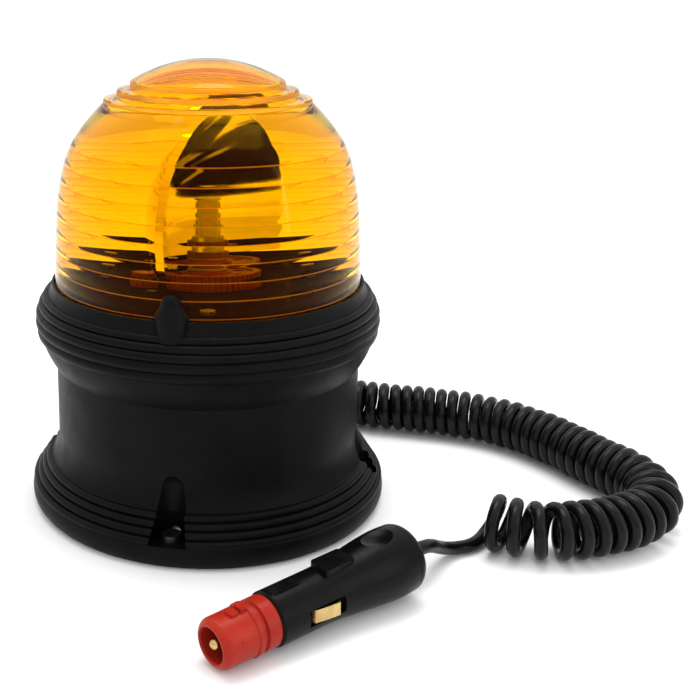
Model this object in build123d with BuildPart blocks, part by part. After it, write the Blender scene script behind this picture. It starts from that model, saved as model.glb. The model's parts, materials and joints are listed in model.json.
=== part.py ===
"""Amber rotating warning beacon on a magnetic rubber foot, with a coiled lead and a 12/24 V plug.

All sizes are in millimetres. The origin is the centre of the foot's underside, +Z is up, and the
beacon's front, which carries one of its two lens lugs, looks along -Y.
"""
from math import atan, cos, pi, radians, sin, sqrt, tan
import os

from build123d import *

os.makedirs("parts", exist_ok=True)

# Overall sizes
foot_radius = 79.2
waist_radius = 66.6
lens_radius = 65.9
lip_height = 99.4
beacon_height = 191.0

# Rubber boot
foot_edge_radius = 76.4
skirt_inside = 74.7
ledge_height = 8.0
rib_bulge = 1.25
foot_ribs = [(78.3, 9.4), (76.4, 12.2), (74.3, 15.2), (72.4, 18.1), (70.4, 21.0)]
collar_ribs = [(72.2, 76.2), (73.2, 80.6), (73.4, 85.0), (72.6, 88.6), (70.9, 91.8), (68.9, 94.6)]
boot_bore = 63.1
collar_bore = 66.1
collar_bore_floor = 87.8
pocket_floor = 9.5
pocket_radius = 6.0
pocket_mouth_radius = 7.9
pocket_centre = 70.6
pocket_arch_height = 30.5
first_pocket_angle = -102
lug_centre = 65.2
lug_base_radius = 6.8
lug_tip_radius = 4.2
lug_shoulder = 101.4

# Magnet foot
pad_thickness = 1.5
pan_sheet = 2.0
pan_radius = 74.4
pan_flange_top = ledge_height
pan_crown_top = 14.4
magnet_inside = 25.0
magnet_outside = 57.0
base_screw_circle = 70.6
tub_screw_circle = 45.0

# Inner tub, deck and lens seat
tub_radius = 62.8
tub_wall = 2.6
tub_floor_top = 17.0
tub_top = 90.5
column_circle = 52.0
column_radius = 4.0
deck_top = 98.0
deck_sheet = 2.5
deck_bottom = deck_top - deck_sheet
deck_radius = 60.6
seal_top = 92.5
lens_foot = 92.6
lens_wall = 2.6

# Turning gear
gear_module = 0.8
gear_teeth = 56
pinion_teeth = 14
gear_bottom = 99.1
gear_top = 104.1
post_radius = 5.0
bush_radius = 7.0
hub_radius = 9.0
hub_top = 106.0
motor_radius = 12.0
motor_offset = gear_module * (gear_teeth + pinion_teeth) / 2
motor_angle = 200
motor_screw_places = [(0, 8), (0, -8)]

# Reflector: a parabolic bowl with its focus on the lamp
focal_length = 20.5
focus_height = 124.4
reflector_sheet = 1.6
reflector_rim = 49.8
reflector_bottom = 106.6
reflector_angle = -31
lamp_seat = 113.6
lamp_column = 9.0
cradle_screw_places = [(-11.5, 10), (-11.5, -10)]
cradle_sheet = 2.0
cradle_screw_bore = 1.3

# Lead
wire_radius = 2.75
coil_radius = 12.0
coil_height = coil_radius + 0.05
wire_floor = wire_radius + 0.05
gland_angle = 115
gland_height = 26.0
gland_end = 97.0
gland_bore = 6.0
gland_boss = 9.5
clamp_reach = 46.0
clamp_screw_places = [(clamp_reach, 8.8), (clamp_reach, -8.8)]

# Plug
plug_rear = Vector(75.1, -90.0, 14.08)
plug_heading = -143.8
plug_droop = 2.635
plug_length = 68.0
plug_tip_reach = 92.0
barrel_radius = 6.3
ring_bore = 6.55
plug_screw_reach = 24.0


def ribbed(marks):
    """Adds an outward arc between each two neighbouring marks of the open line."""
    for (r1, z1), (r2, z2) in zip(marks, marks[1:]):
        run = sqrt((r2 - r1) ** 2 + (z2 - z1) ** 2)
        out_r = (z2 - z1) / run * rib_bulge
        out_z = (r1 - r2) / run * rib_bulge
        ThreePointArc((r1, z1), ((r1 + r2) / 2 + out_r, (z1 + z2) / 2 + out_z), (r2, z2))


def crown(radius, base, top):
    """Adds the half arc of a spherical crown from its rim to the axis, as (radius, height)."""
    rise = top - base
    sphere = (radius * radius + rise * rise) / (2 * rise)
    middle = radius / 2
    ThreePointArc((radius, base), (middle, top - sphere + sqrt(sphere**2 - middle**2)), (0, top))


def turned(points):
    """Adds a straight-sided profile of (radius, height) points, turned about the beacon's axis."""
    with BuildSketch(Plane.XZ) as profile:
        with BuildLine():
            Polyline(*points, close=True)
        make_face()
    revolve(profile.sketch, axis=Axis.Z)


def disc(radius, bottom, height, mode=Mode.ADD):
    """Adds or cuts a round plate or hole centred on the places that are active."""
    with Locations((0, 0, bottom)):
        Cylinder(radius, height, align=(Align.CENTER, Align.CENTER, Align.MIN), mode=mode)


def save(piece, name):
    """Labels a finished piece and writes it as a STEP file."""
    piece.part.label = name
    export_step(piece.part, f"parts/{name}.step")


def radial_plane(angle, height):
    """A plane on the beacon's axis whose normal points outward at an angle."""
    outward = (cos(radians(angle)), sin(radians(angle)), 0)
    return Plane(origin=(0, 0, height), x_dir=(0, 0, 1), z_dir=outward)


# ---------------------------------------------------------------- rubber boot
gland_plane = radial_plane(gland_angle, gland_height)

with BuildPart() as rubber_boot:
    with BuildSketch(Plane.XZ):
        with BuildLine():
            Line((skirt_inside, 0), (foot_edge_radius, 0))
            ThreePointArc((foot_edge_radius, 0), (foot_radius, 4.8), foot_ribs[0])
            ribbed(foot_ribs)
            Line(foot_ribs[-1], (69.9, 21.3))
            ThreePointArc((69.9, 21.3), (67.6, 26.4), (waist_radius, 33))
            Line((waist_radius, 33), (waist_radius - 0.4, 63.4))
            ThreePointArc((waist_radius - 0.4, 63.4), (69.8, 69.3), collar_ribs[0])
            ribbed(collar_ribs)
            ThreePointArc(collar_ribs[-1], (67.9, 96.4), (67.1, lip_height))
            Line((67.1, lip_height), (collar_bore, lip_height))
            Line((collar_bore, lip_height), (collar_bore, collar_bore_floor))
            Line((collar_bore, collar_bore_floor), (boot_bore, collar_bore_floor))
            Line((boot_bore, collar_bore_floor), (boot_bore, ledge_height))
            Line((boot_bore, ledge_height), (skirt_inside, ledge_height))
            Line((skirt_inside, ledge_height), (skirt_inside, 0))
        make_face()
    revolve(axis=Axis.Z)
    # Four open pockets over the foot screws, arched at the top and wider at the mouth
    with PolarLocations(pocket_centre, 4, start_angle=first_pocket_angle):
        disc(pocket_radius, pocket_floor, pocket_arch_height - pocket_floor, Mode.SUBTRACT)
        with Locations((0, 0, pocket_arch_height)):
            Sphere(pocket_radius, mode=Mode.SUBTRACT)
    with BuildSketch(Plane.XY.offset(pocket_floor)):
        with PolarLocations(pocket_centre, 4, start_angle=first_pocket_angle):
            Circle(pocket_mouth_radius)
        with PolarLocations(pocket_centre + 10, 4, start_angle=first_pocket_angle):
            Rectangle(20, 2 * pocket_mouth_radius)
    extrude(amount=9.5, taper=11, mode=Mode.SUBTRACT)
    with PolarLocations(base_screw_circle, 4, start_angle=first_pocket_angle):
        disc(2.3, ledge_height, pocket_floor - ledge_height, Mode.SUBTRACT)
    # Two lugs that stand up against the lens
    with PolarLocations(lug_centre, 2, start_angle=first_pocket_angle):
        disc(lug_base_radius, 92, lug_shoulder - 92)
        with Locations((0, 0, lug_shoulder)):
            Cone(lug_base_radius, lug_tip_radius, 4.4, align=(Align.CENTER, Align.CENTER, Align.MIN))
        with Locations((0, 0, lug_shoulder + 4.4)):
            Sphere(lug_tip_radius)
    disc(collar_bore, collar_bore_floor, 30, Mode.SUBTRACT)
    # Seat and hole for the cord gland
    with BuildSketch(gland_plane.offset(64)):
        Circle(gland_boss)
    extrude(amount=7)
    with BuildSketch(gland_plane.offset(60)):
        Circle(gland_bore)
    extrude(amount=14, mode=Mode.SUBTRACT)
    with BuildSketch(gland_plane.offset(71)):
        Circle(gland_boss)
    extrude(amount=10, mode=Mode.SUBTRACT)
save(rubber_boot, "rubber_boot")

# ---------------------------------------------------------------- magnet foot
with BuildPart() as foot_pad:
    disc(pan_radius, 0, pad_thickness)
save(foot_pad, "foot_pad")

with BuildPart() as ring_magnet:
    disc(magnet_outside, pad_thickness, pan_crown_top - pan_sheet - pad_thickness)
    disc(magnet_inside, pad_thickness, 20, Mode.SUBTRACT)
    chamfer(ring_magnet.edges().filter_by(GeomType.CIRCLE), 0.6)
save(ring_magnet, "ring_magnet")

with BuildPart() as magnet_pan:
    turned([(8, pan_crown_top), (60, pan_crown_top), (60, pan_flange_top), (pan_radius, pan_flange_top),
            (pan_radius, pan_flange_top - pan_sheet), (58, pan_flange_top - pan_sheet),
            (58, pan_crown_top - pan_sheet), (8, pan_crown_top - pan_sheet)])
    with PolarLocations(base_screw_circle, 4, start_angle=first_pocket_angle):
        disc(2.05, 5, 5, Mode.SUBTRACT)
    with PolarLocations(tub_screw_circle, 3, start_angle=90):
        disc(1.6, 12, 5, Mode.SUBTRACT)
save(magnet_pan, "magnet_pan")


def pan_head_screw(head_radius, head_height, shank_radius, shank_length, seat):
    """Adds a pan-head screw with a cross recess, its head seated at a height."""
    disc(shank_radius, seat - shank_length, shank_length)
    disc(head_radius, seat, head_height)
    with Locations((0, 0, seat + head_height)):
        Box(head_radius * 1.1, head_radius * 0.28, head_height, mode=Mode.SUBTRACT)
        Box(head_radius * 0.28, head_radius * 1.1, head_height, mode=Mode.SUBTRACT)


with BuildPart() as base_screws:
    with PolarLocations(base_screw_circle, 4, start_angle=first_pocket_angle):
        pan_head_screw(3.9, 2.6, 2.0, 6.0, pocket_floor)
save(base_screws, "base_screws")

# ---------------------------------------------------------------- inner tub
with BuildPart() as base_tub:
    turned([(0, pan_crown_top), (tub_radius, pan_crown_top), (tub_radius, 88), (65.8, 88),
            (65.8, tub_top), (tub_radius - tub_wall, tub_top),
            (tub_radius - tub_wall, tub_floor_top), (0, tub_floor_top)])
    with PolarLocations(column_circle, 3, start_angle=30):
        disc(column_radius, tub_floor_top, deck_bottom - tub_floor_top)
        disc(1.55, 82, 20, Mode.SUBTRACT)
    with PolarLocations(tub_screw_circle, 3, start_angle=90):
        disc(1.6, 12, 8, Mode.SUBTRACT)
    with Locations((0, 6)):
        with GridLocations(50, 28, 2, 2):
            disc(2.6, tub_floor_top, 13)
    with Locations(Rotation(0, 0, gland_angle)):
        with Locations(*clamp_screw_places):
            disc(1.3, pan_crown_top, 5, Mode.SUBTRACT)
    with BuildSketch(gland_plane.offset(57)):
        Circle(gland_bore)
    extrude(amount=10, mode=Mode.SUBTRACT)
save(base_tub, "base_tub")

with BuildPart() as tub_screws:
    with PolarLocations(tub_screw_circle, 3, start_angle=90):
        pan_head_screw(3.0, 2.0, 1.5, 4.4, tub_floor_top)
save(tub_screws, "tub_screws")

# ---------------------------------------------------------------- deck
with BuildPart() as chassis_plate:
    turned([(post_radius, deck_top), (deck_radius, deck_top), (deck_radius, 93.0), (62.4, 92.2),
            (62.4, tub_top), (deck_radius - 2.5, tub_top), (deck_radius - 2.5, deck_bottom),
            (post_radius, deck_bottom)])
    top_edges = chassis_plate.edges().filter_by(GeomType.CIRCLE).group_by(Axis.Z)[-1]
    fillet(top_edges.sort_by(SortBy.LENGTH)[-1], 1.2)
    with PolarLocations(column_circle, 3, start_angle=30):
        disc(1.6, 90, 10, Mode.SUBTRACT)
    # Shallow ring ribs on the deck
    for ring_radius in (41.0, 46.0):
        with BuildSketch(Plane.XY.offset(deck_top)):
            Circle(ring_radius)
            Circle(ring_radius - 1.0, mode=Mode.SUBTRACT)
        extrude(amount=0.6)
    with PolarLocations(motor_offset, 1, start_angle=motor_angle):
        disc(3.3, 90, 10, Mode.SUBTRACT)
        with Locations(*motor_screw_places):
            disc(1.3, 90, 10, Mode.SUBTRACT)
            with Locations((0, 0, deck_top)):
                Cone(1.3, 2.3, 2.0, align=(Align.CENTER, Align.CENTER, Align.MAX), mode=Mode.SUBTRACT)
save(chassis_plate, "chassis_plate")

with BuildPart() as chassis_screws:
    with PolarLocations(column_circle, 3, start_angle=30):
        pan_head_screw(3.0, 2.0, 1.5, 12.0, deck_top)
save(chassis_screws, "chassis_screws")

with BuildPart() as lens_seal:
    turned([(62.9, tub_top), (65.9, tub_top), (65.9, seal_top), (62.9, seal_top)])
save(lens_seal, "lens_seal")

# ---------------------------------------------------------------- lens
dome_side = [(64.8, 115.0), (63.9, 129.0), (60.4, 148.0), (54.0, 161.4), (43.0, 173.8)]
dome_rings = [(43.0, 175.4), (37.6, 176.6), (37.4, 179.0), (32.0, 179.9), (31.8, 182.2)]

with BuildPart() as lens_dome:
    with BuildSketch(Plane.XZ):
        with BuildLine():
            Line((0, lens_foot), (lens_radius, lens_foot))
            Line((lens_radius, lens_foot), dome_side[0])
            Spline(*dome_side, tangents=[(-0.06, 1), (-0.68, 0.74)])
            Polyline(dome_side[-1], *dome_rings)
            crown(*dome_rings[-1], beacon_height)
            Line((0, beacon_height), (0, lens_foot))
        make_face()
        # Inside: a plain cup of even wall
        with BuildLine():
            Line((0, lens_foot), (lens_radius - lens_wall, lens_foot))
            Line((lens_radius - lens_wall, lens_foot), (62.3, 115))
            Spline((62.3, 115), (61.3, 129), (57.8, 147.2), (51.7, 159.6), (41.2, 171.5),
                   tangents=[(-0.06, 1), (-0.68, 0.74)])
            Line((41.2, 171.5), (29.6, 179.3))
            crown(29.6, 179.3, beacon_height - lens_wall)
            Line((0, beacon_height - lens_wall), (0, lens_foot))
        make_face(mode=Mode.SUBTRACT)
    revolve(axis=Axis.Z)
save(lens_dome, "lens_dome")

# ---------------------------------------------------------------- post, washer, lamp
with BuildPart() as pivot_post:
    disc(post_radius, 90, 22)
    disc(9, deck_bottom - 2.5, 2.5)
    disc(2.6, 80, 50, Mode.SUBTRACT)
save(pivot_post, "pivot_post")

with BuildPart() as thrust_washer:
    disc(9, deck_top, 1.0)
    disc(post_radius + 0.1, 90, 20, Mode.SUBTRACT)
save(thrust_washer, "thrust_washer")

with BuildPart() as post_clip:
    disc(7.6, hub_top + 0.3, 0.8)
    disc(post_radius, 90, 30, Mode.SUBTRACT)
    with Locations((6, 0, hub_top + 0.3)):
        Box(5, 4, 4, mode=Mode.SUBTRACT)
save(post_clip, "post_clip")

with BuildPart() as lamp_holder:
    disc(9, 108, lamp_seat - 108)
    disc(post_radius, 108, 4, Mode.SUBTRACT)
    with PolarLocations(9, 12):
        disc(0.9, 110.5, 8, Mode.SUBTRACT)
    fillet(lamp_holder.faces().sort_by(Axis.Z)[-1].outer_wire().edges(), 0.4)
save(lamp_holder, "lamp_holder")

with BuildPart() as led_lamp_body:
    disc(7, lamp_seat, 4)
    with BuildSketch(Plane.XY.offset(lamp_seat + 4)):
        RectangleRounded(lamp_column, lamp_column, 0.8)
    extrude(amount=15)
    disc(5.6, lamp_seat + 19, 1.6)
    for fin_height in (1.0, 2.6):
        with BuildSketch(Plane.XY.offset(lamp_seat + fin_height)):
            Circle(7)
            Circle(6, mode=Mode.SUBTRACT)
        extrude(amount=0.7, mode=Mode.SUBTRACT)
save(led_lamp_body, "led_lamp_body")

with BuildPart() as led_emitters:
    for from_focus in (-3.4, 3.4):
        with Locations((0, 0, focus_height + from_focus)):
            with PolarLocations(lamp_column / 2 + 0.4, 4):
                Box(0.8, 4.2, 4.2)
save(led_emitters, "led_emitters")


# ---------------------------------------------------------------- gear train
def gear_points(teeth, first_tooth):
    """Outline of a stub-tooth involute spur gear, its first tooth centred on an angle in degrees."""
    pitch = gear_module * teeth / 2
    base = pitch * cos(radians(20))
    tip = pitch + 0.7 * gear_module
    root = pitch - gear_module
    half_at_base = pi / (2 * teeth) - 0.035 / pitch + tan(radians(20)) - radians(20)
    start_roll = sqrt(max((root + 0.1) ** 2 / base**2 - 1, 0))
    end_roll = sqrt(tip**2 / base**2 - 1)
    flank = []
    for step in range(5):
        roll = start_roll + (end_roll - start_roll) * step / 4
        flank.append((base * sqrt(1 + roll * roll), half_at_base - roll + atan(roll)))
    flank.insert(0, (root, flank[0][1]))
    points = []
    for tooth in range(teeth):
        centre = radians(first_tooth) + 2 * pi * tooth / teeth
        for radius, half in flank:
            points.append((radius * cos(centre - half), radius * sin(centre - half)))
        for radius, half in reversed(flank):
            points.append((radius * cos(centre + half), radius * sin(centre + half)))
    return points


def toothed(teeth, first_tooth, bottom, height):
    """Adds a spur gear centred on the active place."""
    with BuildSketch(Plane.XY.offset(bottom)) as outline:
        with BuildLine():
            Polyline(*gear_points(teeth, first_tooth), close=True)
        make_face()
    extrude(outline.sketch, amount=height)


motor_x = motor_offset * cos(radians(motor_angle))
motor_y = motor_offset * sin(radians(motor_angle))

with BuildPart() as turntable_gear:
    toothed(gear_teeth, motor_angle + 180 / gear_teeth, gear_bottom, gear_top - gear_bottom)
    disc(hub_radius, gear_bottom, hub_top - gear_bottom)
    disc(bush_radius, 90, 30, Mode.SUBTRACT)
    # The web is thinned between the hub and the toothed rim, and lightened by holes
    with BuildSketch(Plane.XY.offset(gear_top)):
        Circle(19.6)
        Circle(hub_radius + 1.6, mode=Mode.SUBTRACT)
        with Locations(Rotation(0, 0, reflector_angle)):
            with Locations((-14, 0)):
                Rectangle(14, 30, mode=Mode.SUBTRACT)
    extrude(amount=-1.6, mode=Mode.SUBTRACT)
    with Locations(Rotation(0, 0, reflector_angle)):
        with PolarLocations(14.8, 5, start_angle=-120, angular_range=240, endpoint=True):
            disc(2.6, 95, 15, Mode.SUBTRACT)
        with Locations(*cradle_screw_places):
            disc(cradle_screw_bore, 95, 15, Mode.SUBTRACT)
save(turntable_gear, "turntable_gear")

with BuildPart() as hub_bush:
    disc(bush_radius, gear_bottom, hub_top - gear_bottom)
    disc(post_radius + 0.05, 90, 30, Mode.SUBTRACT)
save(hub_bush, "hub_bush")

with BuildPart() as motor_pinion:
    with BuildSketch(Plane(origin=(motor_x, motor_y, gear_bottom + 0.2))):
        with BuildLine():
            Polyline(*gear_points(pinion_teeth, motor_angle + 180), close=True)
        make_face()
        Circle(1.0, mode=Mode.SUBTRACT)
    extrude(amount=4.4)
save(motor_pinion, "motor_pinion")

with BuildPart() as motor_shaft:
    with Locations((motor_x, motor_y)):
        disc(1.0, 66.5, 37.2)
save(motor_shaft, "motor_shaft")

with BuildPart() as motor_can:
    with Locations((motor_x, motor_y)):
        disc(motor_radius, 62, 32)
        disc(3.0, 94, 2.4)
    fillet(motor_can.edges().filter_by(GeomType.CIRCLE).filter_by(lambda e: e.radius > 11), 1.0)
    with Locations((motor_x, motor_y)):
        disc(1.05, 66, 40, Mode.SUBTRACT)
        with Locations(Rotation(0, 0, motor_angle)):
            with Locations(*motor_screw_places):
                disc(1.05, 90, 10, Mode.SUBTRACT)
save(motor_can, "motor_can")

with BuildPart() as motor_cap:
    with Locations((motor_x, motor_y)):
        disc(motor_radius - 0.8, 59.4, 2.6)
        with Locations((5.5, 0), (-5.5, 0)):
            with Locations((0, 0, 57.4)):
                Box(2.8, 0.6, 4)
save(motor_cap, "motor_cap")

with BuildPart() as motor_gasket:
    with Locations((motor_x, motor_y)):
        disc(motor_radius, 94, deck_bottom - 94)
        disc(3.2, 90, 10, Mode.SUBTRACT)
        with Locations(Rotation(0, 0, motor_angle)):
            with Locations(*motor_screw_places):
                disc(1.3, 90, 10, Mode.SUBTRACT)
save(motor_gasket, "motor_gasket")

with BuildPart() as motor_screws:
    with Locations((motor_x, motor_y)):
        with Locations(Rotation(0, 0, motor_angle)):
            with Locations(*motor_screw_places):
                disc(1.0, 90.5, deck_top - 92)
                with Locations((0, 0, deck_top)):
                    Cone(1.0, 2.2, 1.9, align=(Align.CENTER, Align.CENTER, Align.MAX))
                    Box(2.8, 0.5, 1.2, mode=Mode.SUBTRACT)
save(motor_screws, "motor_screws")


# ---------------------------------------------------------------- reflector
mirror_frame = Plane(origin=(0, 0, focus_height)).rotated((0, 0, reflector_angle))


def parabola_depth(radius, focus):
    """How far in front of the bowl's deepest point the bowl stands at a radius from its axis."""
    return radius * radius / (4 * focus)


def bowl(focus, inner_focus=None):
    """Adds a solid bowl about the mirror's axis, or only its wall when an inner focus is given."""
    reach = 62.0
    flat = Plane(origin=mirror_frame.origin, x_dir=mirror_frame.x_dir, z_dir=-mirror_frame.y_dir)
    with BuildSketch(flat) as section:
        with BuildLine():
            Bezier((-focus, 0), (-focus, reach / 2), (-focus + parabola_depth(reach, focus), reach))
            if inner_focus is None:
                lip = -focus + parabola_depth(reach, focus)
                Polyline((lip, reach), (40, reach), (40, 0), (-focus, 0))
            else:
                end = (-inner_focus + parabola_depth(reach, inner_focus), reach)
                Line((-focus + parabola_depth(reach, focus), reach), end)
                Bezier(end, (-inner_focus, reach / 2), (-inner_focus, 0))
                Line((-inner_focus, 0), (-focus, 0))
        make_face()
    revolve(section.sketch, axis=Axis(mirror_frame.origin, mirror_frame.x_dir))


mirror_front = Plane(origin=mirror_frame.origin, x_dir=mirror_frame.y_dir, z_dir=mirror_frame.x_dir)

with BuildPart() as reflector:
    bowl(focal_length + reflector_sheet, focal_length)
    # Trimmed to a round rim, cut off level above the deck
    with BuildSketch(mirror_front.offset(-30)):
        Circle(reflector_rim)
        with Locations((0, reflector_bottom - focus_height)):
            below = (Align.CENTER, Align.MAX)
            Rectangle(3 * reflector_rim, 2 * reflector_rim, align=below, mode=Mode.SUBTRACT)
    extrude(amount=80, mode=Mode.INTERSECT)
save(reflector, "reflector")

cradle_foot = Plane(origin=(0, 0, gear_top)).rotated((0, 0, reflector_angle))

with BuildPart() as reflector_cradle:
    # A block shaped to the back of the bowl, on a foot that runs under the bowl's lower edge
    with BuildSketch(cradle_foot):
        with Locations((-19, 0)):
            Rectangle(12, 14)
    extrude(amount=15)
    with BuildPart(mode=Mode.PRIVATE) as bowl_volume:
        bowl(focal_length + reflector_sheet)
    add(bowl_volume.part, mode=Mode.SUBTRACT)
    with BuildSketch(cradle_foot):
        with Locations((-16, 0)):
            RectangleRounded(13, 26, 2)
    extrude(amount=cradle_sheet)
    with BuildSketch(cradle_foot):
        with Locations(*cradle_screw_places):
            Circle(cradle_screw_bore)
    extrude(amount=4, mode=Mode.SUBTRACT)
save(reflector_cradle, "reflector_cradle")

with BuildPart() as cradle_screws:
    with Locations(Rotation(0, 0, reflector_angle)):
        with Locations(*cradle_screw_places):
            pan_head_screw(2.1, 1.3, 1.25, 6.6, gear_top + cradle_sheet)
save(cradle_screws, "cradle_screws")

# ---------------------------------------------------------------- drive electronics
board_bottom = tub_floor_top + 13
with BuildPart() as driver_board:
    with BuildSketch(Plane.XY.offset(board_bottom)):
        with Locations((0, 6)):
            RectangleRounded(58, 36, 2)
    extrude(amount=1.6)
save(driver_board, "driver_board")

board_top = board_bottom + 1.6
with BuildPart() as filter_choke:
    with Locations((14, 4, board_top + 3.6)):
        Torus(6.2, 3.4)
save(filter_choke, "filter_choke")

with BuildPart() as capacitor:
    with Locations((-6, 12)):
        disc(4, board_top, 12)
    fillet(capacitor.edges().sort_by(Axis.Z)[-1], 0.6)
save(capacitor, "capacitor")

with BuildPart() as terminal_block:
    with Locations((-20, 14, board_top + 4)):
        Box(10, 14, 8)
    with Locations((-20, 10.5, board_top + 8), (-20, 17.5, board_top + 8)):
        Cylinder(1.8, 4, mode=Mode.SUBTRACT)
save(terminal_block, "terminal_block")

# ---------------------------------------------------------------- gland and inner lead
with BuildPart() as cord_gland:
    gland_profile = Plane(origin=gland_plane.origin, x_dir=gland_plane.x_dir, z_dir=-gland_plane.y_dir)
    with BuildSketch(gland_profile):
        with BuildLine():
            Polyline((2.8, 57.5), (5.9, 57.5), (5.9, 71), (8.2, 71), (8.2, 72.6), (5.6, 73.6),
                     (4.2, gland_end), (2.8, gland_end), close=True)
        make_face()
    revolve(axis=Axis(gland_plane.origin, gland_plane.z_dir))
    for groove in range(4):
        with BuildSketch(gland_plane.offset(77 + 4.6 * groove)):
            Circle(8)
            Circle(4.3 - 0.25 * groove, mode=Mode.SUBTRACT)
        extrude(amount=1.4, mode=Mode.SUBTRACT)
save(cord_gland, "cord_gland")

with BuildPart() as inner_lead:
    with BuildSketch(gland_plane.offset(36)):
        Circle(wire_radius)
    extrude(amount=gland_end - 36)
save(inner_lead, "inner_lead")

with BuildPart() as cable_clamp:
    clamp_foot = Plane(origin=(0, 0, tub_floor_top)).rotated((0, 0, gland_angle))
    with BuildSketch(clamp_foot):
        with Locations((clamp_reach, 0)):
            RectangleRounded(8, 24, 1.5)
    extrude(amount=3)
    with BuildSketch(clamp_foot):
        with Locations((clamp_reach, 0)):
            Rectangle(8, 11)
    extrude(amount=gland_height + 5.2 - tub_floor_top)
    with BuildSketch(gland_plane.offset(40)):
        Circle(wire_radius + 0.02)
    extrude(amount=12, mode=Mode.SUBTRACT)
    with BuildSketch(clamp_foot):
        with Locations(*clamp_screw_places):
            Circle(1.3)
    extrude(amount=5, mode=Mode.SUBTRACT)
save(cable_clamp, "cable_clamp")

with BuildPart() as clamp_screws:
    with Locations(Rotation(0, 0, gland_angle)):
        with Locations(*clamp_screw_places):
            pan_head_screw(2.1, 1.3, 1.25, 4.6, tub_floor_top + 3)
save(clamp_screws, "clamp_screws")


# ---------------------------------------------------------------- lead outside the beacon
def corner_radii(route):
    """Arc radii as large as the two runs beside each corner of a route allow."""
    radii = []
    for before, corner, after in zip(route, route[1:], route[2:]):
        into = Vector(*corner) - Vector(*before)
        out = Vector(*after) - Vector(*corner)
        turn = radians(into.get_angle(out))
        radii.append(0.45 * min(into.length, out.length) / tan(turn / 2))
    return radii


def cord(route, radius, name):
    """Adds a round tube along a route with rounded corners and prints its radii and length."""
    radii = corner_radii(route)
    with BuildLine() as path:
        FilletPolyline(*route, radius=radii)
    wire = path.wire()
    with BuildSketch(Plane(origin=wire @ 0, z_dir=wire % 0)) as section:
        Circle(radius)
    sweep(section.sketch, path=wire)
    print(name, "length", round(wire.length, 1), "radii", [round(r, 1) for r in radii])


def along_gland(distance, height):
    """A point at a distance from the beacon's axis, on the gland's side, at a height."""
    return (distance * cos(radians(gland_angle)), distance * sin(radians(gland_angle)), height)


coil_route = [
    (22, 97, coil_height),
    (52, 86.5, coil_height),
    (81, 69, coil_height),
    (113, 61.5, coil_height),
    (143, 49, coil_height),
    (164, 26, coil_height),
    (178, -2, coil_height),
    (191.5, -24, coil_height),
    (188, -48, coil_height),
    (167, -62, coil_height),
    (144, -68, coil_height),
    (127, -68, coil_height),
    (111.5, -65.5, coil_height),
]
coil_drop = coil_radius - wire_radius

base_tail_route = [
    along_gland(gland_end, gland_height),
    along_gland(gland_end + 13, gland_height),
    (-45, 113, 19.5),
    (-33, 121, 11),
    (-18, 122.5, 5),
    (-3, 112, wire_floor),
    (10.05, 102.12, wire_floor),
    (22, 97, coil_height - coil_drop),
]

plug_back = Vector(0.807, 0.591, 0.046)
plug_tail_route = [
    (111.5, -65.5, coil_height - coil_drop),
    (101.13, -63.83, wire_floor),
    (91.5, -72, 7.6),
    tuple(plug_rear + plug_back * 12),
    tuple(plug_rear),
]

with BuildPart() as cord_tail_base:
    cord(base_tail_route, wire_radius, "base tail")
save(cord_tail_base, "cord_tail_base")

with BuildPart() as cord_coil:
    cord(coil_route, coil_radius, "coil")
save(cord_coil, "cord_coil")

with BuildPart() as cord_tail_plug:
    cord(plug_tail_route, wire_radius, "plug tail")
save(cord_tail_plug, "cord_tail_plug")

# ---------------------------------------------------------------- plug
heading = radians(plug_heading)
droop = radians(plug_droop)
plug_axis = Vector(cos(heading) * cos(droop), sin(heading) * cos(droop), -sin(droop))
plug_side = Vector(-sin(heading), cos(heading), 0)
plug_up = plug_axis.cross(plug_side)
plug_line = Axis(plug_rear, plug_axis)
plug_profile = Plane(origin=plug_rear, x_dir=plug_side, z_dir=plug_side.cross(plug_axis))
side_plane = Plane(origin=plug_rear, x_dir=plug_axis, z_dir=plug_side)
top_plane = Plane(origin=plug_rear, x_dir=plug_axis, z_dir=plug_up)


def plug_turned(*points):
    """Adds a straight-sided profile of (radius, distance) points, turned about the plug's axis."""
    with BuildSketch(plug_profile) as profile:
        with BuildLine():
            Polyline(*points, close=True)
        make_face()
    revolve(profile.sketch, axis=plug_line)


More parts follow.
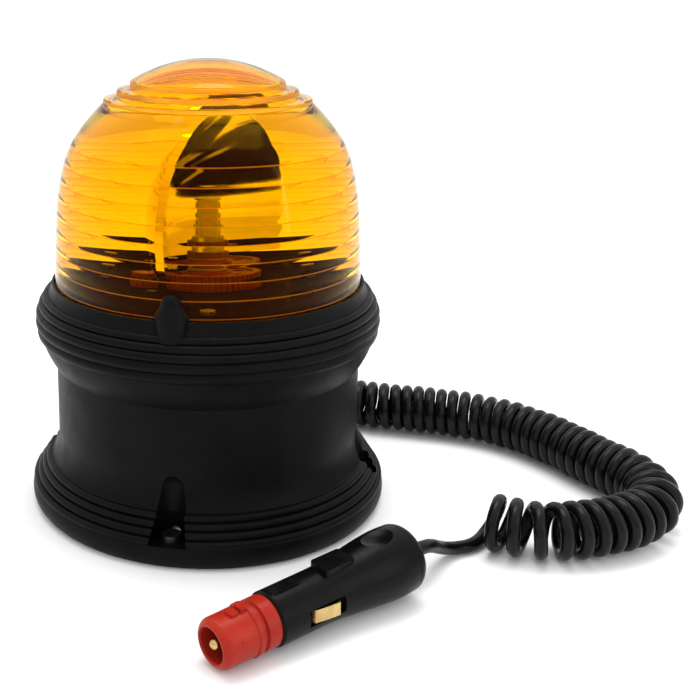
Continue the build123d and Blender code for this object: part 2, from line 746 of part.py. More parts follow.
def plug_case():
    """Adds the plug's whole hollow handle: taper, nose ribs, panel, recesses and contact slots."""
    with BuildSketch(plug_profile) as outside:
        with BuildLine():
            Line((0, 0), (9.0, 0))
            ThreePointArc((9.0, 0), (12.3, 1.3), (13.4, 4.6))
            Spline((13.4, 4.6), (13.6, 10), (12.4, 24), (10.9, 37), (10.4, 48),
                   tangents=[(0.1, 1), (0, 1)])
            Line((10.4, 48), (10.35, 67.2))
            Line((10.35, 67.2), (9.6, plug_length))
            Line((9.6, plug_length), (0, plug_length))
            Line((0, plug_length), (0, 0))
        make_face()
    revolve(outside.sketch, axis=plug_line)
    # Raised panel on top and locating ribs beside the nose
    with BuildSketch(top_plane.offset(6)) as panel:
        with Locations((37, 0)):
            RectangleRounded(14, 9.5, 1.5)
    extrude(panel.sketch, amount=6.2)
    with BuildSketch(side_plane) as rib:
        with BuildLine():
            ThreePointArc((53, 9.8), (60, 11.3), (67, 9.8))
            Line((67, 9.8), (53, 9.8))
        make_face()
        mirror(about=Plane.XZ)
    extrude(rib.sketch, amount=2.2, both=True)
    # Finger recesses above and below
    recess = 16.0
    for distance, depth_from_axis in ((16, 11.6), (30, -10.3)):
        away = depth_from_axis + (recess if depth_from_axis > 0 else -recess)
        with Locations(plug_rear + plug_axis * distance + plug_up * away):
            Sphere(recess, mode=Mode.SUBTRACT)
    # Hollow inside, contact slots at both sides
    with BuildSketch(plug_profile) as hollow:
        with BuildLine():
            Polyline((0, 5), (7.6, 5), (8.3, 30), (8.3, 62), (barrel_radius, 62),
                     (barrel_radius, plug_length), (0, plug_length), close=True)
        make_face()
    revolve(hollow.sketch, axis=plug_line, mode=Mode.SUBTRACT)
    with BuildSketch(side_plane) as slot:
        with Locations((48, 0)):
            RectangleRounded(16.5, 6.6, 0.8)
    extrude(slot.sketch, amount=15, both=True, mode=Mode.SUBTRACT)


with BuildPart() as plug_shell_upper:
    plug_case()
    split(bisect_by=top_plane, keep=Keep.TOP)
    with BuildSketch(top_plane):
        with Locations((plug_screw_reach, 0)):
            Circle(3.0)
    extrude(amount=9)
    with BuildSketch(top_plane):
        with Locations((plug_screw_reach, 0)):
            Circle(1.25)
    extrude(amount=7, mode=Mode.SUBTRACT)
save(plug_shell_upper, "plug_shell_upper")

with BuildPart() as plug_shell_lower:
    plug_case()
    split(bisect_by=top_plane, keep=Keep.BOTTOM)
    with BuildSketch(top_plane):
        with Locations((plug_screw_reach, 0)):
            Circle(3.0)
    extrude(amount=-9)
    with BuildSketch(top_plane):
        with Locations((plug_screw_reach, 0)):
            Circle(1.6)
    extrude(amount=-14, mode=Mode.SUBTRACT)
    with BuildSketch(top_plane.offset(-6)):
        with Locations((plug_screw_reach, 0)):
            Circle(2.7)
    extrude(amount=-14, mode=Mode.SUBTRACT)
save(plug_shell_lower, "plug_shell_lower")

with BuildPart() as plug_screw:
    with BuildSketch(top_plane.offset(-6)):
        with Locations((plug_screw_reach, 0)):
            Circle(1.2)
    extrude(amount=12.5)
    with BuildSketch(top_plane.offset(-6)):
        with Locations((plug_screw_reach, 0)):
            Circle(2.5)
    extrude(amount=-1.8)
    with BuildSketch(top_plane.offset(-7.8)):
        with Locations((plug_screw_reach, 0)):
            Rectangle(3.2, 0.7)
            Rectangle(0.7, 3.2)
    extrude(amount=0.9, mode=Mode.SUBTRACT)
save(plug_screw, "plug_screw")

with BuildPart() as plug_barrel:
    plug_turned((3.45, 82), (5.6, 82), (barrel_radius, 81.3), (barrel_radius, 61.8), (8.2, 61.8),
                (8.2, 58), (4.95, 58), (4.95, 76), (3.45, 76))
save(plug_barrel, "plug_barrel")

with BuildPart() as plug_tip:
    with BuildSketch(plug_profile):
        with BuildLine():
            Polyline((0, 72.4), (4.7, 72.4), (4.7, 75.8), (3.4, 75.8), (3.4, 85.6), (2.7, 86.6),
                     (2.1, 86.6), (2.1, 90.4))
            crown(2.1, 90.4, plug_tip_reach)
            Line((0, plug_tip_reach), (0, 72.4))
        make_face()
    revolve(axis=plug_line)
save(plug_tip, "plug_tip")

with BuildPart() as tip_spring:
    spring_seat = plug_rear + plug_axis * 63.4
    with BuildLine() as spring_path:
        Helix(pitch=1.7, height=8.5, radius=3.7, center=spring_seat, direction=plug_axis)
    with BuildSketch(Plane(origin=spring_path.line @ 0, z_dir=spring_path.line % 0)):
        Circle(0.35)
    sweep(path=spring_path.line, is_frenet=True)
save(tip_spring, "tip_spring")

with BuildPart() as plug_fuse:
    plug_turned((0, 34), (2.8, 34), (2.8, 54.6), (0, 54.6))
save(plug_fuse, "plug_fuse")

with BuildPart() as fuse_caps:
    plug_turned((0, 28.6), (3.2, 28.6), (3.2, 34), (0, 34))
    plug_turned((0, 54.6), (3.2, 54.6), (3.2, 60), (0, 60))
save(fuse_caps, "fuse_caps")

with BuildPart() as fuse_plate:
    plug_turned((0, 60.1), (4.6, 60.1), (4.6, 62.8), (0, 62.8))
save(fuse_plate, "fuse_plate")


def contact_leaf(side):
    """Adds one bowed brass contact leaf on a side of the plug, +1 or -1, its feet inside the case."""
    foot_out = 7.2 * side
    foot_in = 6.7 * side
    with BuildSketch(Plane(origin=plug_rear, x_dir=plug_axis, z_dir=plug_up)) as leaf:
        with BuildLine():
            Polyline((36.6, foot_in), (36.6, foot_out), (40.9, foot_out), (43.2, 11.2 * side))
            ThreePointArc((43.2, 11.2 * side), (47.4, 10.7 * side), (53.4, 9.6 * side))
            Polyline((53.4, 9.6 * side), (54.9, foot_out), (57.4, foot_out), (57.4, foot_in),
                     (54.6, foot_in), (53.0, 9.1 * side))
            ThreePointArc((53.0, 9.1 * side), (47.4, 10.2 * side), (43.6, 10.6 * side))
            Polyline((43.6, 10.6 * side), (41.3, foot_in), (36.6, foot_in))
        make_face()
    extrude(leaf.sketch, amount=2.6, both=True)


with BuildPart() as contact_left:
    contact_leaf(1)
save(contact_left, "contact_left")

with BuildPart() as contact_right:
    contact_leaf(-1)
save(contact_right, "contact_right")

with BuildPart() as plug_adapter_ring:
    with BuildSketch(plug_profile):
        with BuildLine():
            Polyline((ring_bore, 68.2), (9.5, 68.2), (9.7, 68.8), (9.7, 73.6), (8.7, 74.2), (8.7, 75.6),
                     (10.0, 76.0), (10.0, 77.8), (9.5, 78.2), (9.4, 88.6))
            ThreePointArc((9.4, 88.6), (8.8, 90.9), (7.4, 92))
            Polyline((7.4, 92), (ring_bore + 0.3, 92), (ring_bore, 91.4), (ring_bore, 68.2))
        make_face()
    revolve(axis=plug_line)
    # Bayonet lug, key and four locating dots
    with BuildSketch(top_plane.offset(8.4)):
        with Locations((79.4, 0)):
            RectangleRounded(2.6, 5.0, 0.8)
    extrude(amount=2.5)
    with BuildSketch(top_plane.offset(8.4)):
        with Locations((83.2, 0.5)):
            RectangleRounded(3.4, 4.0, 0.8)
    extrude(amount=1.9)
    for dot in range(4):
        turn = radians(20 + 90 * dot)
        outward = plug_side * cos(turn) + plug_up * sin(turn)
        with Locations(plug_rear + plug_axis * 84.5 + outward * 9.3):
            Sphere(0.75)
save(plug_adapter_ring, "plug_adapter_ring")

# ---------------------------------------------------------------- internal wires
with BuildPart() as inner_wires:
    for side in (-1.8, 1.8):
        cord([
            (-20 + side, 21.5, board_top + 4),
            (-22 + side, 32, board_top + 6),
            (-34 + side, 31 + side, board_top + 14),
            (-37, 9, board_top + 19 + side),
            (motor_x + side, motor_y + 3, 55.5),
        ], 0.8, "motor wire")
    cord([
        (-12, 21.4, board_top + 6),
        (-2, 24, board_top + 16),
        (-1, 12, 60),
        (0, 1, 78),
        (0, 0, 94),
        (0, 0, 106),
    ], 0.9, "lamp wire")
save(inner_wires, "inner_wires")
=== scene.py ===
"""Looks of an amber rotating warning beacon with a coiled lead and a vehicle power plug.

The frame gives every hard part in metres, its origin the centre of the foot's underside, +Z up and
the front along -Y. This script draws the lead and the lens anew, gives every part its surface finish,
and adds a camera, a floor, lights and a surround.
"""
from bisect import bisect_left
import json
from math import cos, pi, radians, sin, sqrt

import bmesh
import bpy
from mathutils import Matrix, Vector


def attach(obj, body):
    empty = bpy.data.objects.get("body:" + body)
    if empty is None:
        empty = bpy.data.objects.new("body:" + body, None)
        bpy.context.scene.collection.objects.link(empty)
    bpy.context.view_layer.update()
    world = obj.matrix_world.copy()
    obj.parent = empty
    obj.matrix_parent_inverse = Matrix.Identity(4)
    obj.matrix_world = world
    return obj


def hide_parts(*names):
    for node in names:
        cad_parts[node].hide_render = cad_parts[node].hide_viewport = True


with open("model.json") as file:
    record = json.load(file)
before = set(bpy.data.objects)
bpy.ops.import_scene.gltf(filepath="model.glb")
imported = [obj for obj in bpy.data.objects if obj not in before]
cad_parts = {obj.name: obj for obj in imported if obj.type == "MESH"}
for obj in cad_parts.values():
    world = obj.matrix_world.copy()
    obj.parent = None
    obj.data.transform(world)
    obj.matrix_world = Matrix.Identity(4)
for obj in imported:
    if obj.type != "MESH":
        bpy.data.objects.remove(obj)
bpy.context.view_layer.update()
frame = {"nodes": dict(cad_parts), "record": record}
nodes = frame["nodes"]
MM = 0.001


# ---------------------------------------------------------------- camera
CAMERA_PLACE = (0, -0.4685, 0.2275)
CAMERA_PITCH = radians(70.94)
CAMERA_LENS = 57.6
CAMERA_SENSOR = 36
CAMERA_SHIFT = 0.203


def make_camera():
    """A camera in front of the beacon, a little above it, with the beacon left of the middle."""
    data = bpy.data.cameras.new("camera")
    data.sensor_width = CAMERA_SENSOR
    data.lens = CAMERA_LENS
    data.shift_x = CAMERA_SHIFT
    camera = bpy.data.objects.new("camera", data)
    camera.location = CAMERA_PLACE
    camera.rotation_euler = (CAMERA_PITCH, 0, 0)
    bpy.context.scene.collection.objects.link(camera)
    bpy.context.scene.camera = camera
    bpy.context.scene.view_settings.view_transform = "Standard"


# ---------------------------------------------------------------- lead
WIRE_RADIUS = 2.75 * MM
COIL_RADIUS = 12 * MM
COIL_HEIGHT = COIL_RADIUS + 0.15 * MM
WINDING_RADIUS = COIL_RADIUS - WIRE_RADIUS
POINTS_PER_TURN = 14
LINE_DETAIL = 32
LINE_STEP = 0.25 * MM
BEND_REACH = 5 * MM

# How the close turns vary along the coil
CLOSE_PITCH = 5.6 * MM
OPEN_END = 50 * MM
OPENING = 0.22
OPENING_CURVE = 0.8
EASED_START = 6 * MM
EASING = 0.5
SLACK = 0.015
SLACK_LENGTH = 9 * MM
LEAN = 0.16
UNEVENNESS = 0.015
UNEVENNESS_RATE = 1.7

# The lead's two ends: the gland's centreline, and where and in what direction it leaves the plug
GLAND_ANGLE = radians(115)
GLAND_HEIGHT = 26 * MM
GLAND_END = 97 * MM
PLUG_REAR = Vector((75.1, -90.0, 14.08)) * MM
PLUG_BACK = Vector((0.807, 0.591, 0.046))


def along_gland(distance):
    """A point on the gland's centreline, at a distance from the beacon's axis."""
    return Vector((distance * cos(GLAND_ANGLE), distance * sin(GLAND_ANGLE), GLAND_HEIGHT))


def in_metres(route):
    """A route given in millimetres, as vectors in metres."""
    return [Vector(point) * MM for point in route]


COIL_ROUTE = [Vector((x, y, 0)) * MM + Vector((0, 0, COIL_HEIGHT)) for x, y in (
    (22, 97), (52, 86.5), (81, 69), (113, 61.5), (143, 49), (164, 26),
    (178, -2), (191.5, -24), (188, -48), (167, -62), (145, -68), (127, -67), (113.5, -58),
)]
BASE_TAIL_ROUTE = [
    along_gland(GLAND_END),
    along_gland(GLAND_END + 13 * MM),
    *in_metres([(-45, 113, 19.5), (-33, 121, 11), (-18, 122.5, 5), (-3, 112, 2.8), (10.05, 102.12, 2.8)]),
]
PLUG_TAIL_ROUTE = [
    *in_metres([(107.5, -62.5, 2.8), (99.0, -65.5, 3.0), (91.5, -72.5, 7.6)]),
    PLUG_REAR + PLUG_BACK * 12 * MM,
    PLUG_REAR,
]


def smooth_curve(name, points):
    """A curve object of one open NURBS spline with these control points."""
    data = bpy.data.curves.new(name, "CURVE")
    data.dimensions = "3D"
    spline = data.splines.new("NURBS")
    spline.points.add(len(points) - 1)
    for control, point in zip(spline.points, points):
        control.co = (*point, 1)
    spline.order_u = 3
    spline.use_endpoint_u = True
    curve = bpy.data.objects.new(name, data)
    bpy.context.scene.collection.objects.link(curve)
    return curve


def read_line(route):
    """Closely spaced points along the smooth line of a route."""
    curve = smooth_curve("route_line", route)
    curve.data.resolution_u = LINE_DETAIL
    mesh = bpy.data.meshes.new_from_object(curve)
    line = [vertex.co.copy() for vertex in mesh.vertices]
    bpy.data.meshes.remove(mesh)
    bpy.data.objects.remove(curve)
    return line


def measured(line):
    """The distance along a line of points to each of them."""
    reached = [0.0]
    for a, b in zip(line, line[1:]):
        reached.append(reached[-1] + (b - a).length)
    return reached


def winding(route):
    """Control points of the turns wound around a level route, starting and ending at its underside."""
    line = read_line(route)
    reached = measured(line)
    total = reached[-1]

    def at(s):
        """Place and direction on the line at a distance from its start."""
        i = min(max(1, bisect_left(reached, s)), len(line) - 1)
        share = (s - reached[i - 1]) / (reached[i] - reached[i - 1])
        return line[i - 1].lerp(line[i], share), (line[i] - line[i - 1]).normalized()

    def pitch(s):
        """Length of line that one turn takes: close turns, spread in a bend and open at the plug's end."""
        before, after = at(max(0, s - BEND_REACH))[1], at(min(total, s + BEND_REACH))[1]
        bend = before.angle(after) / (2 * BEND_REACH)
        opening = 1 + OPENING * max(0, 1 - (total - s) / OPEN_END) ** OPENING_CURVE
        easing = 1 + EASING * max(0, 1 - s / EASED_START)
        slack = 1.0 + SLACK * sin(s / SLACK_LENGTH)
        return CLOSE_PITCH / (1 - WINDING_RADIUS * bend) * opening * easing * slack

    places = [k * LINE_STEP for k in range(int(total / LINE_STEP) + 1)]
    turns = [0.0]
    for s in places[1:]:
        turns.append(turns[-1] + LINE_STEP / pitch(s))
    whole = round(turns[-1])
    turns = [turn * whole / turns[-1] for turn in turns]

    points = []
    for k in range(1, whole * POINTS_PER_TURN + 1):
        turn = k / POINTS_PER_TURN
        s = places[min(bisect_left(turns, turn), len(places) - 1)]
        middle, along = at(s)
        aside = Vector((-along.y, along.x, 0))
        lean = LEAN * max(0, 1 - (total - s) / OPEN_END)
        angle = 2 * pi * turn
        uneven = 1 - UNEVENNESS + UNEVENNESS * sin(turn * UNEVENNESS_RATE)
        radius = WINDING_RADIUS * uneven / cos(pi / POINTS_PER_TURN)
        out = Vector((0, 0, -cos(angle))) + aside * sin(angle)
        points.append(middle + radius * out + along * radius * lean * cos(angle))
    return points


def make_lead(finish):
    """The whole lead as one line: out of the gland, the close turns of the coil, and into the plug."""
    turns = winding(COIL_ROUTE)
    points = [*BASE_TAIL_ROUTE, *turns, *PLUG_TAIL_ROUTE]
    lead = smooth_curve("supply_lead", points)
    lead.data.resolution_u = 3
    lead.data.bevel_depth = WIRE_RADIUS
    lead.data.bevel_resolution = 4
    lead.data.use_fill_caps = True
    lead.data.materials.append(finish)
    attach(lead, "base")
    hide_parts("cord_tail_base", "cord_coil", "cord_tail_plug")
    return lead


# ---------------------------------------------------------------- surface finishes
NOISE_ROUGHNESS = 0.55
NOISE_LOW = 0.3
NOISE_HIGH = 0.7
WAVE_SCALE = 60
WAVE_DEPTH = 0.1 * MM
BUMP_STRENGTH = 0.5
FINE_GRAIN = 2600
LENS_IOR = 1.24


def grey(level):
    """A neutral colour."""
    return (level, level, level)


def finish_of(name, colour, roughness, **inputs):
    """A new material whose main shader has this colour, roughness and these other inputs."""
    material = bpy.data.materials.new(name)
    material.use_nodes = True
    shader = material.node_tree.nodes["Principled BSDF"]
    shader.inputs["Base Color"].default_value = (*colour, 1)
    shader.inputs["Roughness"].default_value = roughness
    for socket, value in inputs.items():
        shader.inputs[socket.replace("_", " ")].default_value = value
    return material


def place(tree, stretch=(1, 1, 1)):
    """The surface's own coordinates, stretched along its axes."""
    source = tree.nodes.new("ShaderNodeTexCoord")
    mapping = tree.nodes.new("ShaderNodeMapping")
    mapping.inputs["Scale"].default_value = stretch
    tree.links.new(source.outputs["Object"], mapping.inputs["Vector"])
    return mapping.outputs["Vector"]


def noise(tree, vector, scale, detail):
    """A noise texture's factor."""
    texture = tree.nodes.new("ShaderNodeTexNoise")
    texture.inputs["Scale"].default_value = scale
    texture.inputs["Detail"].default_value = detail
    texture.inputs["Roughness"].default_value = NOISE_ROUGHNESS
    tree.links.new(vector, texture.inputs["Vector"])
    return texture.outputs["Fac"]


def ramp(tree, factor, stops):
    """A colour ramp over (position, colour) stops."""
    node = tree.nodes.new("ShaderNodeValToRGB")
    elements = node.color_ramp.elements
    elements[0].position, elements[0].color = stops[0][0], (*stops[0][1], 1)
    elements[1].position, elements[1].color = stops[-1][0], (*stops[-1][1], 1)
    for position, colour in stops[1:-1]:
        elements.new(position).color = (*colour, 1)
    tree.links.new(factor, node.inputs["Fac"])
    return node.outputs["Color"]


def spread(tree, factor, low, high):
    """The middle of a noise's factor mapped to a range of values."""
    node = tree.nodes.new("ShaderNodeMapRange")
    node.inputs["From Min"].default_value = NOISE_LOW
    node.inputs["From Max"].default_value = NOISE_HIGH
    node.inputs["To Min"].default_value = low
    node.inputs["To Max"].default_value = high
    tree.links.new(factor, node.inputs["Value"])
    return node.outputs["Result"]


def bump(tree, height, strength, distance, before=None):
    """A bump whose height comes from a factor, over an earlier bump if there is one."""
    node = tree.nodes.new("ShaderNodeBump")
    node.inputs["Strength"].default_value = strength
    node.inputs["Distance"].default_value = distance
    tree.links.new(height, node.inputs["Height"])
    if before is not None:
        tree.links.new(before, node.inputs["Normal"])
    return node.outputs["Normal"]


def textured(material, dark, light, patch_scale, rough_low, rough_high, grain_scale, grain_depth,
             stretch=(1, 1, 1)):
    """Gives a material patchy colour and roughness, a fine grain and a slow unevenness."""
    tree = material.node_tree
    shader = tree.nodes["Principled BSDF"]
    vector = place(tree, stretch)
    patches = noise(tree, vector, patch_scale, detail=6)
    tree.links.new(ramp(tree, patches, [(0.32, dark), (0.68, light)]), shader.inputs["Base Color"])
    wear = noise(tree, vector, patch_scale * 2.3, detail=5)
    tree.links.new(spread(tree, wear, rough_low, rough_high), shader.inputs["Roughness"])
    slow = bump(tree, noise(tree, vector, WAVE_SCALE, detail=2), BUMP_STRENGTH, WAVE_DEPTH)
    fine = bump(tree, noise(tree, vector, grain_scale, detail=3), BUMP_STRENGTH, grain_depth, slow)
    tree.links.new(fine, shader.inputs["Normal"])
    return material


def plastic(name, dark, light, rough_low, rough_high, grain_depth=0.00004, **inputs):
    """A moulded plastic with a fine grain."""
    material = finish_of(name, light, rough_high, **inputs)
    return textured(material, dark, light, patch_scale=45, rough_low=rough_low, rough_high=rough_high,
                    grain_scale=FINE_GRAIN, grain_depth=grain_depth)


def metal(name, dark, light, rough_low, rough_high, stretch=(1, 1, 1), grain_depth=0.00002):
    """A bare metal with machining grain and patchy tarnish."""
    material = finish_of(name, light, rough_high, Metallic=1.0)
    return textured(material, dark, light, patch_scale=70, rough_low=rough_low, rough_high=rough_high,
                    grain_scale=1800, grain_depth=grain_depth, stretch=stretch)


def amber_lens():
    """Clear amber plastic: tinted, glossy, with faint moulding flow marks.

    It bends light less than acrylic does, and its reflections are tinted dark, so that the deck
    behind it stays dark.
    """
    material = finish_of("amber_lens", (1.0, 0.60, 0.006), 0.02, Transmission_Weight=1.0, IOR=LENS_IOR,
                         Specular_Tint=(0.45, 0.20, 0.16, 1))
    tree = material.node_tree
    shader = tree.nodes["Principled BSDF"]
    vector = place(tree, (1, 1, 0.4))
    tints = [(NOISE_LOW, (1.0, 0.60, 0.003)), (NOISE_HIGH, (1.0, 0.66, 0.005))]
    tint = ramp(tree, noise(tree, vector, 14, detail=3), tints)
    tree.links.new(tint, shader.inputs["Base Color"])
    haze = noise(tree, vector, 60, detail=4)
    tree.links.new(spread(tree, haze, low=0.008, high=0.03), shader.inputs["Roughness"])
    flow = noise(tree, vector, 26, detail=2)
    tree.links.new(bump(tree, flow, strength=0.2, distance=0.0001), shader.inputs["Normal"])
    return material


def frosted_amber():
    """The same plastic where the mould left it rough: it scatters light and glows."""
    material = finish_of("amber_frosted", (1.0, 0.36, 0.02), 0.5, Transmission_Weight=0.45, IOR=LENS_IOR)
    return textured(material, (0.95, 0.32, 0.015), (1.0, 0.40, 0.03), patch_scale=90, rough_low=0.4,
                    rough_high=0.6, grain_scale=FINE_GRAIN, grain_depth=0.00004)


def make_finishes():
    """Every surface finish by its slot name."""
    finishes = [
        plastic("boot_rubber", (0.0012, 0.0012, 0.0016), (0.0030, 0.0030, 0.0036), 0.38, 0.50, 0.00008,
                Specular_IOR_Level=0.075),
        plastic("pad_rubber", grey(0.016), grey(0.030), 0.6, 0.8, 0.0001),
        plastic("ferrite", (0.03, 0.03, 0.032), (0.06, 0.06, 0.065), 0.45, 0.65),
        metal("black_steel", (0.05, 0.05, 0.055), (0.12, 0.12, 0.125), 0.35, 0.5),
        metal("zinc_steel", (0.50, 0.49, 0.46), (0.72, 0.71, 0.68), 0.22, 0.40),
        plastic("tub_plastic", (0.018, 0.018, 0.020), (0.035, 0.035, 0.038), 0.45, 0.6),
        plastic("deck_plastic", (0.0075, 0.0022, 0.0014), (0.0120, 0.0035, 0.0022), 0.5, 0.65,
                Specular_IOR_Level=0.0),
        amber_lens(),
        plastic("seal_rubber", grey(0.02), grey(0.04), 0.55, 0.7),
        metal("post_steel", (0.52, 0.51, 0.50), (0.74, 0.73, 0.72), 0.16, 0.30, (1, 1, 6)),
        plastic("washer_nylon", (0.62, 0.60, 0.53), (0.78, 0.76, 0.70), 0.35, 0.5),
        metal("bush_bronze", (0.42, 0.24, 0.10), (0.62, 0.40, 0.19), 0.30, 0.45),
        plastic("gear_plastic", (0.15, 0.020, 0.006), (0.24, 0.034, 0.010), 0.32, 0.46),
        metal("mirror_chrome", (0.80, 0.79, 0.78), (0.90, 0.89, 0.88), 0.06, 0.11, grain_depth=0.000004),
        plastic("lamp_ceramic", (0.10, 0.018, 0.006), (0.16, 0.032, 0.010), 0.4, 0.6),
        metal("lamp_aluminium", (0.30, 0.29, 0.28), (0.44, 0.43, 0.42), 0.28, 0.42),
        plastic("emitter_phosphor", (0.48, 0.30, 0.04), (0.62, 0.42, 0.07), 0.15, 0.3),
        metal("motor_steel", (0.46, 0.46, 0.45), (0.64, 0.64, 0.63), 0.25, 0.4, (1, 1, 5)),
        plastic("board_laminate", (0.20, 0.09, 0.03), (0.32, 0.15, 0.06), 0.3, 0.5),
        metal("choke_copper", (0.50, 0.18, 0.07), (0.76, 0.34, 0.16), 0.2, 0.35),
        plastic("capacitor_sleeve", (0.012, 0.02, 0.08), (0.02, 0.035, 0.14), 0.15, 0.3),
        plastic("terminal_plastic", (0.02, 0.12, 0.05), (0.04, 0.20, 0.09), 0.35, 0.5),
        plastic("cord_jacket", (0.002, 0.002, 0.0022), (0.0045, 0.0045, 0.005), 0.22, 0.32, 0.00003,
                Specular_IOR_Level=0.15),
        plastic("wire_insulation", (0.28, 0.012, 0.010), (0.42, 0.022, 0.016), 0.3, 0.42),
        plastic("plug_black", (0.0010, 0.0010, 0.0013), (0.0028, 0.0028, 0.0034), 0.24, 0.36, 0.00003,
                Specular_IOR_Level=0.09),
        plastic("plug_red", (0.26, 0.013, 0.006), (0.38, 0.022, 0.010), 0.20, 0.34, 0.00003,
                Specular_IOR_Level=0.12),
        metal("contact_brass", (0.44, 0.30, 0.11), (0.66, 0.49, 0.21), 0.18, 0.34, (4, 1, 1)),
        metal("spring_steel", grey(0.5), grey(0.68), 0.2, 0.35),
        finish_of("fuse_glass", (0.92, 0.96, 0.96), 0.04, Transmission_Weight=1.0, IOR=1.5),
    ]
    # The frame's own materials have the slots' names, so Blender puts a number after these ones
    return {finish.name.split(".")[0]: finish for finish in finishes}


def finish_frame(finishes):
    """Puts each frame part's finish on it, as the record assigns them."""
    for part in frame["record"]["subparts"]:
        node = nodes[part["node"]]
        node.data.materials.clear()
        node.data.materials.append(finishes[part["material_slot"]])


# ---------------------------------------------------------------- lens
LENS_FOOT = 92.6 * MM
LENS_TOP = 191 * MM
LENS_WALL = 1.0 * MM
RISER = 0.32 * MM
PRISM_PITCH = 7 * MM
SCALLOP_DEPTH = 0.55 * MM
SCALLOP_COUNT = 10
SCALLOP_STEPS = 8
SCALLOP_FOOT = 0.4 * MM
LATHE_STEPS = 192
CURVE_STEPS = 8
CROWN_STEPS = 14
ON_AXIS = 1e-6
SHARP_ANGLE = radians(22)

# Where the frosted faces are: the risers of the top rings, and the ridges of the inner wall
TOP_RINGS_FOOT = 173.9 * MM
TOP_RINGS_INNER = 30 * MM
RISER_STEEPNESS = 2.5
RIDGES_FOOT = 97 * MM
RIDGES_TOP = 166 * MM
RIDGE_TOLERANCE = 0.02 * MM


def spun(name, outline):
    """A closed (radius, height) outline turned about the beacon's axis."""
    mesh = bmesh.new()
    angles = [2 * pi * k / LATHE_STEPS for k in range(LATHE_STEPS)]
    rings = []
    for radius, height in outline:
        if radius < ON_AXIS:
            rings.append([mesh.verts.new((0, 0, height))])
        else:
            rings.append([mesh.verts.new((radius * cos(a), radius * sin(a), height)) for a in angles])
    for lower, upper in zip(rings, rings[1:] + rings[:1]):
        for k in range(LATHE_STEPS):
            following = (k + 1) % LATHE_STEPS
            corners = [lower[k % len(lower)], lower[following % len(lower)],
                       upper[following % len(upper)], upper[k % len(upper)]]
            corners = list(dict.fromkeys(corners))
            if len(corners) > 2:
                mesh.faces.new(corners)
    bmesh.ops.recalc_face_normals(mesh, faces=mesh.faces)
    data = bpy.data.meshes.new(name)
    mesh.to_mesh(data)
    mesh.free()
    thing = bpy.data.objects.new(name, data)
    bpy.context.scene.collection.objects.link(thing)
    return thing


def profile(*marks):
    """(radius, height) marks given in millimetres, in metres."""
    return [(radius * MM, height * MM) for radius, height in marks]


def through(marks):
    """A smooth line of points through (radius, height) marks."""
    padded = [marks[0], *marks, marks[-1]]
    line = []
    for a, b, c, d in zip(padded, padded[1:], padded[2:], padded[3:]):
        for k in range(CURVE_STEPS):
            t = k / CURVE_STEPS
            weights = (
                (-t + 2 * t**2 - t**3) / 2,
                (2 - 5 * t**2 + 3 * t**3) / 2,
                (t + 4 * t**2 - 3 * t**3) / 2,
                (-(t**2) + t**3) / 2,
            )
            line.append(tuple(sum(w * p[i] for w, p in zip(weights, (a, b, c, d))) for i in (0, 1)))
    return [*line, marks[-1]]


def crown(radius, base, top):
    """A spherical crown's outline from its rim to the axis."""
    rise = top - base
    sphere = (radius**2 + rise**2) / (2 * rise)
    radii = [radius * (1 - k / CROWN_STEPS) for k in range(CROWN_STEPS + 1)]
    return [(r, top - sphere + sqrt(sphere**2 - r**2)) for r in radii]


def radius_at(line, height):
    """The radius of a (radius, height) line at a height."""
    for (r1, z1), (r2, z2) in zip(line, line[1:]):
        if z1 <= height <= z2:
            return r1 + (r2 - r1) * (height - z1) / (z2 - z1)
    return line[-1][0]


def scalloped(side):
    """The lens's inner wall: a stack of hollow ring lenses with a narrow flat ridge between each two."""
    line = []
    for band in range(SCALLOP_COUNT):
        for step in range(SCALLOP_STEPS + 1):
            share = step / SCALLOP_STEPS
            height = LENS_FOOT + SCALLOP_FOOT + band * PRISM_PITCH + share * (PRISM_PITCH - RISER)
            hollow = SCALLOP_DEPTH * (1 - (2 * share - 1) ** 2)
            line.append((radius_at(side, height) - LENS_WALL - SCALLOP_DEPTH + hollow, height))
    return line


def frost(lens, finish):
    """Gives the narrow ridges inside and the risers of the top rings a rougher amber finish."""
    lens.data.materials.append(finish)
    for face in lens.data.polygons:
        heights = [lens.data.vertices[k].co.z for k in face.vertices]
        radii = [lens.data.vertices[k].co.xy.length for k in face.vertices]
        tall, wide = max(heights) - min(heights), max(radii) - min(radii)
        on_rings = min(heights) > TOP_RINGS_FOOT and min(radii) > TOP_RINGS_INNER
        on_ridges = max(heights) < RIDGES_TOP and min(heights) > RIDGES_FOOT
        riser = on_rings and tall > RISER_STEEPNESS * wide
        ridge = on_ridges and abs(tall - RISER) < RIDGE_TOLERANCE
        if riser or ridge:
            face.material_index = 1


def make_lens(finish, riser_finish):
    """The amber dome: smooth outside with stepped rings and a crown, ring lenses inside."""
    side = through(profile((65.9, 92.8), (65.3, 105), (64.8, 115), (63.9, 129), (62.5, 139), (60.4, 148),
                           (57.6, 155.6), (54.0, 161.4), (49.2, 167.4), (43.2, 173.6)))
    rings = profile((43.0, 174.0), (42.9, 175.2), (42.5, 175.6), (37.9, 176.4), (37.5, 176.7),
                    (37.4, 178.7), (37.0, 179.1), (32.3, 179.8), (31.9, 180.1), (31.8, 182.0))
    outside = [(65.2 * MM, LENS_FOOT), *side, *rings, *crown(31.6 * MM, 182.4 * MM, LENS_TOP)]
    roof = profile((47.9, 165.8), (41.0, 171.6), (35.6, 174.2), (30.2, 177.6))
    roof += crown(29.0 * MM, 179.4 * MM, LENS_TOP - LENS_WALL)
    inside = [(63.4 * MM, LENS_FOOT), *scalloped(side), *roof]
    lens = spun("lens_prismatic", [*outside, *reversed(inside)])
    lens.data.materials.append(finish)
    frost(lens, riser_finish)
    sharpen(lens)
    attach(lens, "lens")
    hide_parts("lens_dome")
    return lens


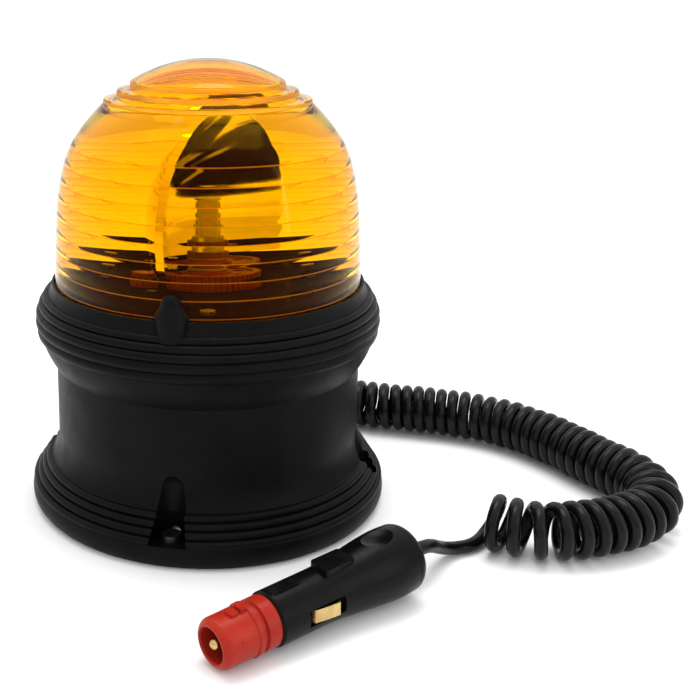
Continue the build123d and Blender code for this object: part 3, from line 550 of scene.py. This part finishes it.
def sharpen(thing):
    """Shades a mesh smooth except at its sharp edges."""
    bpy.context.view_layer.objects.active = thing
    thing.select_set(True)
    bpy.ops.object.shade_smooth_by_angle(angle=SHARP_ANGLE)
    thing.select_set(False)


# ---------------------------------------------------------------- floor and lights
FLOOR_REACH = 12.0
FLOOR_HEIGHT = -0.2 * MM
SURROUND_STRENGTH = 1.35


def make_floor():
    """A wide pale floor just under the foot."""
    mesh = bpy.data.meshes.new("floor")
    corners = [(x * FLOOR_REACH, y * FLOOR_REACH, 0) for x, y in ((-1, -1), (1, -1), (1, 1), (-1, 1))]
    mesh.from_pydata(corners, [], [(0, 1, 2, 3)])
    floor = bpy.data.objects.new("floor", mesh)
    floor.location.z = FLOOR_HEIGHT
    bpy.context.scene.collection.objects.link(floor)
    paper = finish_of("floor_paper", grey(0.90), 0.8)
    textured(paper, grey(0.89), grey(0.91), patch_scale=8, rough_low=0.75, rough_high=0.85,
             grain_scale=700, grain_depth=0.00002)
    floor.data.materials.append(paper)


def soft_light(name, place_at, aim, width, height, power):
    """A soft box that points at a target."""
    data = bpy.data.lights.new(name, "AREA")
    data.shape = "RECTANGLE"
    data.size = width
    data.size_y = height
    data.energy = power
    light = bpy.data.objects.new(name, data)
    light.location = place_at
    light.rotation_euler = (Vector(aim) - Vector(place_at)).to_track_quat("-Z", "Y").to_euler()
    bpy.context.scene.collection.objects.link(light)


def make_surround():
    """A surround that is bright overhead and dimmer around the horizon."""
    world = bpy.data.worlds.new("studio")
    world.use_nodes = True
    tree = world.node_tree
    direction = tree.nodes.new("ShaderNodeTexCoord")
    split = tree.nodes.new("ShaderNodeSeparateXYZ")
    tree.links.new(direction.outputs["Generated"], split.inputs["Vector"])
    shade = ramp(tree, split.outputs["Z"], [(0.0, grey(0.64)), (0.35, grey(0.76)), (0.8, grey(1))])
    background = tree.nodes["Background"]
    tree.links.new(shade, background.inputs["Color"])
    background.inputs["Strength"].default_value = SURROUND_STRENGTH
    bpy.context.scene.world = world


def make_lights():
    """A large box overhead and a tall narrow strip at the right front corner."""
    target = (0.03, 0, 0.09)
    soft_light("top_box", (0.0, 0.2, 1.2), target, width=0.9, height=0.6, power=8)
    soft_light("right_strip", (0.90, -0.55, 0.45), target, width=0.05, height=0.8, power=1.2)


make_camera()
finishes = make_finishes()
finish_frame(finishes)
lead = make_lead(finishes["cord_jacket"])
lens = make_lens(finishes["amber_lens"], frosted_amber())
make_floor()
make_surround()
make_lights()
